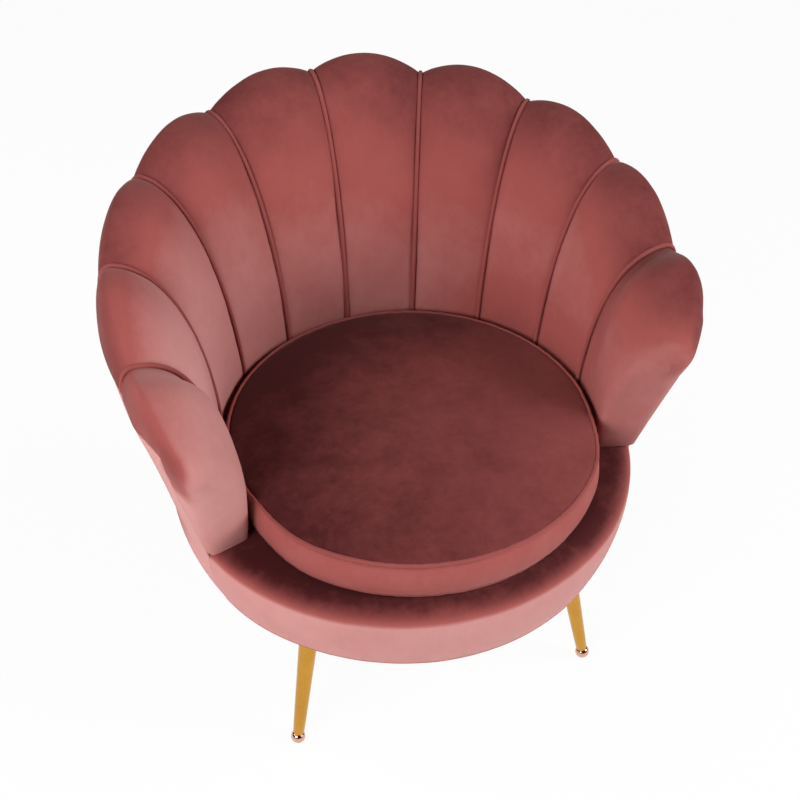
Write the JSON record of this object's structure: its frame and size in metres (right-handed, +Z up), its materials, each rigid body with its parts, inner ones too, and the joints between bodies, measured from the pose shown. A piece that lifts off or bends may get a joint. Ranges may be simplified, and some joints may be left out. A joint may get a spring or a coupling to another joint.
{
  "type": "scallop back chair",
  "caption": "Round upholstered tub chair with a scalloped petal back falling to low arms, a loose round seat cushion and slanted metal legs on ball feet.",
  "frame": {"origin": "middle of the footprint box, on the floor that the ball feet stand on", "axes": "+Z up; the sitter faces -Y; +X is to the right of someone who stands in front and looks at the chair"},
  "size_m": [0.7958, 0.7242, 0.7716],
  "materials": {
    "velvet": "dusty rose velvet with a short pile",
    "foam": "cut polyurethane foam, out of sight",
    "plywood": "raw plywood, out of sight",
    "webbing": "woven elastic webbing",
    "black_cloth": "black non-woven cloth",
    "gold_metal": "satin gold plating on steel tube",
    "steel": "zinc-plated steel, out of sight",
    "rose_metal": "polished rose-gold plating"
  },
  "bodies": {
    "frame": {"seat_ring_lower": "plywood", "seat_ring_upper": "plywood", "frame_block_1": "plywood", "frame_block_2": "plywood", "frame_block_3": "plywood", "frame_block_4": "plywood", "lip_foam": "foam", "lip_cover": "velvet", "strap_long_1": "webbing", "strap_cross_1": "webbing", "strap_long_2": "webbing", "strap_cross_2": "webbing", "deck_pad": "black_cloth", "dust_cover": "black_cloth", "back_petal_1": "velvet", "back_petal_2": "velvet", "back_petal_3": "velvet", "back_petal_4": "velvet", "back_petal_5": "velvet", "back_petal_6": "velvet", "back_petal_7": "velvet", "back_petal_8": "velvet", "back_petal_9": "velvet", "back_petal_10": "velvet", "back_welt_1": "velvet", "back_welt_2": "velvet", "back_welt_3": "velvet", "back_welt_4": "velvet", "back_welt_5": "velvet", "back_welt_6": "velvet", "back_welt_7": "velvet", "back_welt_8": "velvet", "back_welt_9": "velvet", "back_panel": "plywood", "outer_cover": "velvet", "back_rib_1": "plywood", "back_rib_2": "plywood", "back_rib_3": "plywood", "back_rib_4": "plywood", "back_rib_5": "plywood", "leg_front_left": "gold_metal", "leg_plate_front_left": "steel", "leg_stud_front_left": "steel", "leg_front_right": "gold_metal", "leg_plate_front_right": "steel", "leg_stud_front_right": "steel", "leg_rear_left": "gold_metal", "leg_plate_rear_left": "steel", "leg_stud_rear_left": "steel", "leg_rear_right": "gold_metal", "leg_plate_rear_right": "steel", "leg_stud_rear_right": "steel"},
    "cushion": {"cushion_cover": "velvet", "cushion_foam": "foam", "cushion_welt_lower": "velvet", "cushion_welt_upper": "velvet"},
    "foot_front_left": {"glide_front_left": "rose_metal"},
    "foot_front_right": {"glide_front_right": "rose_metal"},
    "foot_rear_left": {"glide_rear_left": "rose_metal"},
    "foot_rear_right": {"glide_rear_right": "rose_metal"}
  },
  "joints": [
    {"name": "cushion_lift", "type": "slide", "parent": "frame", "child": "cushion", "axis": [0, 0, 1], "range_m": [0, 0.45]},
    {"name": "foot_front_left_level", "type": "slide", "parent": "frame", "child": "foot_front_left", "axis": [-0.1655, -0.1374, -0.9766], "range_m": [0, 0.008]},
    {"name": "foot_front_right_level", "type": "slide", "parent": "frame", "child": "foot_front_right", "axis": [0.1655, -0.1374, -0.9766], "range_m": [0, 0.008]},
    {"name": "foot_rear_left_level", "type": "slide", "parent": "frame", "child": "foot_rear_left", "axis": [-0.1655, 0.1374, -0.9766], "range_m": [0, 0.008]},
    {"name": "foot_rear_right_level", "type": "slide", "parent": "frame", "child": "foot_rear_right", "axis": [0.1655, 0.1374, -0.9766], "range_m": [0, 0.008]}
  ]
}
